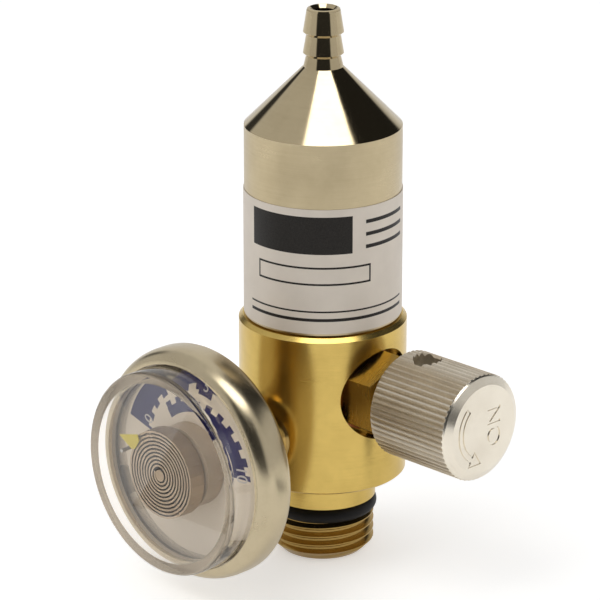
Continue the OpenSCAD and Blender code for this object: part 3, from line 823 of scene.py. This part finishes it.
@dataclass
class EngravedKnob:
    """Knurled knob with a curved arrow and a word cut into its face."""

    face_x: float
    axis_z: float
    depth: float = 0.14
    line: float = 0.24
    arrow_r: float = 4.95
    arrow_w: float = 0.9
    start_deg: float = 133.0
    end_deg: float = 238.0
    head_deg: float = 24.0
    head_half: float = 1.15
    word_y: float = 2.3
    word_size: float = 2.9
    band_len: float = 0.78
    band_r: float = 8.05
    flat_r: float = 6.75

    def build(self, nickel: bpy.types.Material) -> bpy.types.Object:
        """Makes the engraved copy of the knob.

        Args:
            nickel: Finish of the knob.

        Returns:
            The piece that stands for the knob.
        """
        cutter = self._cutter()
        blank = copy_of("knob")
        for vert in blank.verts:
            self._slope(vert)
        piece = finish_mesh("engraved_knob", blank, nickel)
        tool = finish_mesh("knob_marks", cutter, nickel)
        cut = piece.modifiers.new("engrave", "BOOLEAN")
        cut.object = tool
        cut.operation = "DIFFERENCE"
        cut.solver = "EXACT"
        cut.use_self = True
        bpy.context.view_layer.update()
        data = bpy.data.meshes.new_from_object(piece.evaluated_get(
            bpy.context.evaluated_depsgraph_get()))
        piece.modifiers.clear()
        old = piece.data
        piece.data = data
        bpy.data.meshes.remove(old)
        bpy.data.objects.remove(tool)
        mesh = bmesh.new()
        mesh.from_mesh(piece.data)
        bpy.data.objects.remove(piece)
        piece = finish_mesh("engraved_knob", mesh, nickel, 20.0)
        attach(piece, "knob")
        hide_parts("knob")
        return piece

    def _slope(self, vert: bmesh.types.BMVert) -> None:
        """Draws the rim of the face in to one long slope."""
        back = self.face_x - vert.co.x / MM
        around = Vector((0.0, vert.co.y, vert.co.z - self.axis_z * MM))
        if back > 0.6 or around.length < 6.7 * MM:
            return
        share = min(max((self.band_r - around.length / MM) / (self.band_r - 6.9), 0.0), 1.0)
        radius = self.band_r - (self.band_r - self.flat_r) * (0.12 + 0.88 * share)
        back = self.band_len * (1.0 - (0.12 + 0.88 * share))
        around = around.normalized() * radius
        vert.co = Vector((self.face_x - back, around.y, around.z + self.axis_z)) * MM

    def _cutter(self) -> bmesh.types.BMesh:
        """Solid of every engraved line, placed on the face."""
        mesh = bmesh.new()
        self._arc(mesh, self.arrow_r + self.arrow_w / 2)
        self._arc(mesh, self.arrow_r - self.arrow_w / 2)
        self._stroke(mesh, self._at(self.arrow_r - self.arrow_w / 2, self.start_deg),
                     self._at(self.arrow_r + self.arrow_w / 2, self.start_deg))
        head = (self._at(self.arrow_r + self.head_half, self.end_deg),
                self._at(self.arrow_r + 0.3, self.end_deg + self.head_deg),
                self._at(self.arrow_r - self.head_half, self.end_deg))
        for first, second in zip(head, head[1:]):
            self._stroke(mesh, first, second)
        self._stroke(mesh, head[0], self._at(self.arrow_r + self.arrow_w / 2, self.end_deg))
        self._stroke(mesh, head[2], self._at(self.arrow_r - self.arrow_w / 2, self.end_deg))
        data = bpy.data.meshes.new("word")
        word = mark_mesh(Word.ON, self.word_size, 2 * self.depth)
        word.transform(Matrix.Translation((self.word_y * MM, 0, 0))
                       @ Matrix.Rotation(math.pi / 2, 4, "Z"))
        word.to_mesh(data)
        word.free()
        mesh.from_mesh(data)
        bpy.data.meshes.remove(data)
        mesh.transform(Matrix.Translation((self.face_x * MM, 0, self.axis_z * MM))
                       @ Matrix(((0, 0, 1, 0), (1, 0, 0, 0), (0, 1, 0, 0), (0, 0, 0, 1))))
        bmesh.ops.recalc_face_normals(mesh, faces=mesh.faces)
        return mesh

    def _at(self, radius: float, degrees: float) -> Vector:
        """Point of the face in metres."""
        turn = math.radians(degrees)
        return Vector((radius * math.cos(turn), radius * math.sin(turn), 0.0)) * MM

    def _arc(self, mesh: bmesh.types.BMesh, radius: float) -> None:
        """Adds one curved line with a square section."""
        half, deep = self.line / 2 * MM, self.depth * MM
        start = self._at(radius, self.start_deg)
        out = start.normalized()
        corners = [start + out * a + Vector((0, 0, b)) for a, b in
                   ((-half, -deep), (half, -deep), (half, deep), (-half, deep))]
        face = mesh.faces.new([mesh.verts.new(c) for c in corners])
        angle = math.radians(self.end_deg - self.start_deg)
        bmesh.ops.spin(mesh, geom=[face], cent=(0, 0, 0), axis=(0, 0, 1), dvec=(0, 0, 0),
                       angle=angle, steps=24, use_merge=False, use_duplicate=False)

    def _stroke(self, mesh: bmesh.types.BMesh, first: Vector, second: Vector) -> None:
        """Adds one straight line with a square section."""
        run = second - first
        place = (Matrix.Translation((first + second) / 2)
                 @ Matrix.Rotation(math.atan2(run.y, run.x), 4, "Z")
                 @ Matrix.Diagonal((run.length + self.line * MM * 0.9, self.line * MM * 0.98,
                                    2 * self.depth * MM, 1.0)))
        bmesh.ops.create_cube(mesh, size=1.0, matrix=place)


@dataclass
class DialPrint:
    """Raised ink numbers of the dial."""

    front_y: float
    axis_z: float
    ink_t: float = 0.03

    def build(self, pale: bpy.types.Material) -> list[bpy.types.Object]:
        """Makes the numbers.

        Args:
            pale: Finish of the reversed numbers.

        Returns:
            The new pieces.
        """
        made = []
        for name, word, radius, degrees, size in (
                ("number_zero", Word.ZERO, 9.9, 154.0, 1.7),
                ("number_five", Word.FIVE, 12.6, 76.6, 1.6),
                ("number_ten", Word.TEN, 10.2, 6.0, 1.9)):
            mesh = mark_mesh(word, size, self.ink_t)
            turn = math.radians(degrees)
            face = Matrix(((1, 0, 0, 0), (0, 0, -1, 0), (0, 1, 0, 0), (0, 0, 0, 1)))
            spin = Matrix.Rotation(turn - math.pi / 2, 4, "Z")
            place = Matrix.Translation((radius * math.cos(turn) * MM,
                                        (self.front_y - self.ink_t / 2) * MM,
                                        (self.axis_z + radius * math.sin(turn)) * MM))
            mesh.transform(place @ face @ spin)
            piece = finish_mesh(name, mesh, pale)
            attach(piece, "regulator")
            made.append(piece)
        return made


@dataclass
class RolledCase:
    """Gauge case whose front edge is rolled to a fuller round than the solid's."""

    axis_z: float
    front_y: float
    arc_r: float = 16.3
    arc_back: float = 1.8
    reach_r: float = 1.95
    reach_y: float = 3.1
    outer_r: float = 17.85

    def build(self, nickel: bpy.types.Material) -> bpy.types.Object:
        """Makes the rolled copy of the case.

        Args:
            nickel: Finish of the case.

        Returns:
            The piece that stands for the case.
        """
        mesh = copy_of("gauge_case")
        for vert in mesh.verts:
            self._roll(vert)
        piece = finish_mesh("rolled_case", mesh, nickel, 40.0)
        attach(piece, "regulator")
        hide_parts("gauge_case")
        return piece

    def _roll(self, vert: bmesh.types.BMVert) -> None:
        """Moves a point of the solid's edge arc to the fuller round."""
        place = vert.co / MM
        around = Vector((place.x, 0.0, place.z - self.axis_z))
        radius, depth = around.length, place.y - self.front_y
        if radius <= self.arc_r or depth > self.arc_back or depth < 0.02:
            return
        turn = math.atan2(self.arc_back - depth, radius - self.arc_r) * 84.0 / 74.0
        radius = self.outer_r - self.reach_r * (1.0 - math.cos(turn))
        around = around.normalized() * radius
        depth = self.reach_y * (1.0 - math.sin(turn)) + 0.02
        vert.co = Vector((around.x, self.front_y + depth, self.axis_z + around.z)) * MM


@dataclass
class BentPointer:
    """Pointer whose flag leans in over the end of the spiral tube."""

    flag_y: float
    lean: float = 1.4

    def build(self, yellow: bpy.types.Material) -> bpy.types.Object:
        """Makes the leaning copy of the pointer.

        Args:
            yellow: Finish of the pointer.

        Returns:
            The piece that stands for the pointer.
        """
        mesh = copy_of("pointer")
        flag = [v for v in mesh.verts if v.co.y / MM < self.flag_y
                and all(e.other_vert(v).co.y / MM < self.flag_y for e in v.link_edges)]
        bmesh.ops.translate(mesh, verts=flag, vec=(self.lean * MM, 0, 0))
        piece = finish_mesh("bent_pointer", mesh, yellow)
        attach(piece, "pointer")
        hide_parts("pointer")
        return piece


@dataclass
class SmoothLens:
    """Clear lens with evenly shaded round walls."""

    def build(self, clear: bpy.types.Material) -> bpy.types.Object:
        """Makes the merged copy of the lens.

        Args:
            clear: Finish of the lens.

        Returns:
            The piece that stands for the lens.
        """
        piece = finish_mesh("clear_lens", copy_of("gauge_lens"), clear, 30.0)
        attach(piece, "regulator")
        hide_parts("gauge_lens")
        return piece


@dataclass
class PressedSpring:
    """Regulating spring, as a merged copy of the solid with its own mesh."""

    low: float
    high: float
    stroke: float = 0.6

    def build(self, steel: bpy.types.Material) -> bpy.types.Object:
        """Makes the copy of the spring.

        Args:
            steel: Finish of the wire.

        Returns:
            The piece that stands for the spring.
        """
        piece = finish_mesh("pressed_spring", copy_of("regulator_spring"), steel, 80.0)
        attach(piece, "regulator")
        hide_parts("regulator_spring")
        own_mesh(piece)
        return piece


@dataclass
class Studio:
    """White floor, soft lamps, dark cards and the camera."""

    floor_z: float
    target: tuple[float, float, float] = (-2.455, -2.455, 38.53)
    azimuth: float = 45.0
    elevation: float = 19.5
    distance: float = 520.0
    scale: float = 6.58
    cards: list[tuple[float, float, float, float]] = field(default_factory=lambda: [
        (-61.0, 14.0, 60.0, 140.0), (60.0, 5.5, 60.0, 140.0), (0.0, 42.0, 420.0, 3500.0)])

    def build(self) -> None:
        """Makes the whole studio."""
        self._world()
        self._floor()
        self._lamps()
        self._cards()
        self._camera()

    def _direction(self, azimuth: float, elevation: float) -> Vector:
        """Direction from the object towards an azimuth and elevation."""
        turn, rise = math.radians(azimuth), math.radians(elevation)
        return Vector((math.sin(turn) * math.cos(rise), -math.cos(turn) * math.cos(rise),
                       math.sin(rise)))

    def _camera(self) -> None:
        """Adds the camera at the photograph's angle."""
        data = bpy.data.cameras.new("camera")
        data.sensor_width = 36.0
        data.lens = self.scale * self.distance * data.sensor_width / IMAGE_PX
        data.clip_start = 0.01
        data.clip_end = 20.0
        camera = bpy.data.objects.new("camera", data)
        back = self._direction(self.azimuth, self.elevation)
        camera.matrix_world = (Matrix.Translation((Vector(self.target) + back * self.distance) * MM)
                               @ back.to_track_quat("Z", "Y").to_matrix().to_4x4())
        bpy.context.scene.collection.objects.link(camera)
        bpy.context.scene.camera = camera

    def _world(self) -> None:
        """White world, dimmer for the light that it throws and parted for shiny metal."""
        world = bpy.data.worlds.new("studio")
        bpy.context.scene.world = world
        world.use_nodes = True
        g = WorldGraph(world)
        plain = g.math("MAXIMUM", g.ray("Is Camera Ray"), g.ray("Is Transmission Ray"))
        shiny = g.ray("Is Glossy Ray")
        level = 0.65 + plain * 0.35
        g.throw(level * (1.0 - shiny) + self._room(g) * shiny)

    def _room(self, g: "WorldGraph") -> Signal:
        """Brightness of the studio by direction: soft box above, dark room in front and right."""
        turn, rise = g.directions(self.azimuth)
        aside = turn.absolute()
        box = rise.ramp(55.0, 59.0) * turn.ramp(-58.0, -50.0) * (1.0 - turn.ramp(70.0, 77.0))
        front = (1.0 - aside.ramp(38.0, 46.0)) * (1.0 - rise.ramp(46.0, 54.0))
        foot = 32.0 - ((turn - 105.0) / 35.0).clamped() * 28.0
        right = turn.ramp(70.0, 77.0) * (1.0 - turn.ramp(142.0, 150.0))
        right = right * ((rise - foot) / 8.0).clamped()
        left = turn.ramp(-156.0, -150.0) * (1.0 - turn.ramp(-141.0, -136.0)) * rise.ramp(3.0, 9.0)
        left = left * (1.0 - rise.ramp(24.0, 30.0))
        back = aside.ramp(150.0, 156.0)
        room = 0.8 + back * 0.2
        room = room * (1.0 - front * 0.95) * (1.0 - right * 0.97) * (1.0 - left * 0.93)
        return room * (1.0 - box) + box * 4.5

    def _floor(self) -> None:
        """Pale floor that keeps the object's shadow."""
        g = Graph("floor_paper")
        speck = g.noise(g.place, 60.0, 2.0)
        kinds = [g.node("ShaderNodeLightPath", {}, {}, f"Is {kind} Ray")
                 for kind in ("Camera", "Transmission", "Glossy")]
        seen = g.math("MAXIMUM", g.math("MAXIMUM", kinds[0], kinds[1]), kinds[2] * 0.66)
        g.set(Base__Color=g.mix(speck, (0.86, 0.86, 0.86), (0.84, 0.84, 0.84)), Roughness=0.9,
              Emission__Color=g.mix(seen, (0.0, 0.0, 0.0), (1.0, 1.0, 1.0)),
              Emission__Strength=0.44)
        mesh = bmesh.new()
        bmesh.ops.create_grid(mesh, x_segments=1, y_segments=1, size=4.0,
                              matrix=Matrix.Translation((0, 0, self.floor_z * MM)))
        finish_mesh("floor", mesh, g.material)

    def _lamps(self) -> None:
        """Soft lamps above and to the sides."""
        self._lamp("key", -20.0, 60.0, 700.0, 500.0, 1.6)
        self._lamp("fill", 120.0, 35.0, 800.0, 500.0, 0.9)

    def _lamp(self, name: str, azimuth: float, elevation: float, distance: float, size: float,
              strength: float) -> None:
        """Adds one soft square lamp.

        Args:
            name: Name of the lamp.
            azimuth: Angle round the object in degrees.
            elevation: Angle above the floor in degrees.
            distance: Distance from the object in millimetres.
            size: Side of the lamp in millimetres.
            strength: Power in watts.
        """
        data = bpy.data.lights.new(name, "AREA")
        data.shape = "SQUARE"
        data.size = size * MM
        data.energy = strength
        lamp = bpy.data.objects.new(name, data)
        lamp.visible_glossy = False
        back = self._direction(azimuth, elevation)
        lamp.matrix_world = (Matrix.Translation((Vector((0, 0, 35)) + back * distance) * MM)
                             @ back.to_track_quat("Z", "Y").to_matrix().to_4x4())
        bpy.context.scene.collection.objects.link(lamp)

    def _cards(self) -> None:
        """Dark cards that only shiny metal sees, each a sector of the floor."""
        g = Graph("card_black")
        speck = g.noise(g.place, 40.0, 2.0)
        g.set(Base__Color=g.mix(speck, (0.01, 0.01, 0.01), (0.02, 0.02, 0.02)), Roughness=1.0)
        for index, (middle, half, near, far) in enumerate(self.cards):
            mesh = bmesh.new()
            start = self._direction(self.azimuth + middle - half, 0.0)
            verts = [mesh.verts.new(start * r * MM + Vector((0, 0, self.floor_z + 0.3)) * MM)
                     for r in (near, far)]
            edge = mesh.edges.new(verts)
            bmesh.ops.spin(mesh, geom=verts + [edge], cent=(0, 0, 0), axis=(0, 0, 1),
                           dvec=(0, 0, 0), angle=math.radians(2 * half), steps=12,
                           use_merge=False, use_duplicate=False)
            card = finish_mesh(f"card_{index}", mesh, g.material)
            for way in ("camera", "diffuse", "transmission", "shadow", "volume_scatter"):
                setattr(card, f"visible_{way}", False)


@dataclass
class Finishes:
    """Every finish of the object, made once."""

    places: Places
    made: dict[str, bpy.types.Material] = field(default_factory=dict)

    def build(self) -> None:
        """Makes all the finishes."""
        body = (0.0, 0.0, 0.0)
        brass, brass_deep = srgb(214, 184, 104), srgb(150, 118, 52)
        nickel, nickel_deep = srgb(197, 181, 147), srgb(156, 139, 107)
        finishes = (
            TurnedMetal("brass_turned", brass, brass_deep, Axis.BODY, body, 0.24, 0.2,
                        recolor_below=self.places.groove_z + 0.05, lower_color=srgb(172, 143, 84)),
            TurnedMetal("brass_fitting", srgb(205, 174, 98), srgb(140, 108, 48), Axis.KNOB, body, 0.28),
            TurnedMetal("brass_inside", srgb(205, 176, 104), srgb(150, 120, 60), Axis.BODY),
            TurnedMetal("nickel_housing", nickel, nickel_deep, Axis.BODY, body, 0.3, 0.35, 0.16, 0.4,
                        (self.places.tip_z - 17.85, self.places.tip_z), 0.09),
            # The knob's last 0.4 is painted shade that darkens its knurled sides outside the polished
            # face band.
            TurnedMetal("nickel_knob", srgb(240, 232, 216), srgb(196, 182, 160), Axis.KNOB, body, 0.38,
                        0.15, 0.1, 0.4,
                        (self.places.knob_face_x - 1.0, self.places.knob_face_x + 1.0), 0.24,
                        0.4),
            TurnedMetal("nickel_socket", srgb(214, 196, 156), srgb(160, 140, 104), Axis.GAUGE, body,
                        0.16, 0.1),
            PlainMetal("nickel_case", srgb(198, 184, 154), srgb(156, 141, 112), 0.25, 0.015),
            PlainMetal("bronze_tube", srgb(190, 170, 144), srgb(146, 126, 102), 0.46),
            SoftPart("bronze_cup", srgb(190, 172, 148), srgb(164, 144, 120), 0.5),
            PlainMetal("copper", srgb(190, 120, 84), srgb(120, 70, 46), 0.35),
            PlainMetal("stainless", srgb(178, 176, 170), srgb(130, 128, 122), 0.3),
            PlainMetal("spring_wire", srgb(150, 152, 155), srgb(96, 98, 102), 0.3),
            PlainMetal("steel_screw", srgb(186, 180, 168), srgb(120, 114, 104), 0.3),
            SoftPart("rubber", (0.004, 0.0035, 0.0035), (0.008, 0.007, 0.007), 0.5, 0.15, 0.2),
            SoftPart("white_seal", srgb(236, 232, 224), srgb(216, 210, 200), 0.5),
            SoftPart("ring_plastic", srgb(196, 188, 172), srgb(178, 170, 154), 0.5),
            Sintered("sintered_bronze", srgb(168, 132, 84), srgb(92, 66, 38)),
            ClearPlastic("clear_plastic", (0.985, 0.968, 0.945)),
            FoilLabel("foil_label", self.places.label_low, self.places.label_high,
                      math.radians(-45.0), 12.0),
            PrintedDial("printed_dial", self.places.gauge_z, math.radians(162.0),
                        math.radians(160.0)),
            Paint("yellow_paint", srgb(222, 205, 70), srgb(205, 186, 58)),
            Paint("pale_ink", srgb(214, 208, 204), srgb(200, 194, 190)),
        )
        for finish in finishes:
            self.made[finish.name] = finish.build()

    def __getitem__(self, name: str) -> bpy.types.Material:
        """Finish of that name."""
        return self.made[name]


NODE_FINISHES = {
    "body": "brass_turned", "inlet_oring": "rubber", "valve_depressor": "brass_inside",
    "inlet_filter": "sintered_bronze", "nozzle": "brass_inside", "piston_guide": "brass_inside",
    "guide_oring": "rubber", "piston_stem_oring": "rubber", "housing": "nickel_housing",
    "orifice_filter": "sintered_bronze", "flow_orifice": "brass_inside", "label": "foil_label",
    "piston": "brass_inside", "piston_seat": "white_seal", "piston_oring": "rubber",
    "regulator_spring": "spring_wire", "gland_nut": "brass_fitting", "gland_washer": "copper",
    "poppet": "brass_fitting", "poppet_seal": "white_seal", "valve_stem": "stainless",
    "stem_oring": "rubber", "knob": "nickel_knob", "knob_set_screw": "steel_screw",
    "gauge_socket": "nickel_socket", "socket_washer": "copper",
    "gauge_restrictor": "brass_fitting", "gauge_case": "nickel_case", "dial_spacer": "ring_plastic",
    "dial": "printed_dial", "coil_post": "bronze_tube", "coil_drum": "bronze_cup",
    "bourdon_coil": "bronze_tube", "stop_pin": "stainless", "pointer": "yellow_paint",
    "gauge_lens": "clear_plastic",
}


def corners(box: Sequence[Vector]) -> list[list[float]]:
    """Two corners of a box as plain lists."""
    return [[float(value) for value in corner] for corner in box]


def main() -> None:
    """Builds and dresses every piece in order."""
    logging.basicConfig(level=logging.INFO, format="%(name)s: %(message)s")
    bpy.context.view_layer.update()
    places = Places.read()
    finishes = Finishes(places)
    finishes.build()
    for node, finish in NODE_FINISHES.items():
        dress(node, finishes[finish])
    LOG.info("dressed %d solids", len(NODE_FINISHES))
    pieces = [
        ThreadedBody(places.groove_z - GROOVE_GAP, places.spigot_z).build(finishes["brass_turned"]),
        EngravedKnob(places.knob_face_x, places.knob_z).build(finishes["nickel_knob"]),
        RolledCase(places.gauge_z, places.rim_y).build(finishes["nickel_case"]),
        BentPointer(places.pointer_y + 0.22).build(finishes["yellow_paint"]),
        SmoothLens().build(finishes["clear_plastic"]),
        PressedSpring(places.spring_low, places.spring_high).build(finishes["spring_wire"]),
        *DialPrint(places.dial_y, places.gauge_z).build(finishes["pale_ink"])]
    LOG.info("made %s", ", ".join(piece.name for piece in pieces))
    Studio(places.spigot_z - FLOOR_GAP).build()
    bpy.context.scene.view_settings.view_transform = "Standard"
    bpy.context.view_layer.update()


if __name__ == "__main__":
    main()
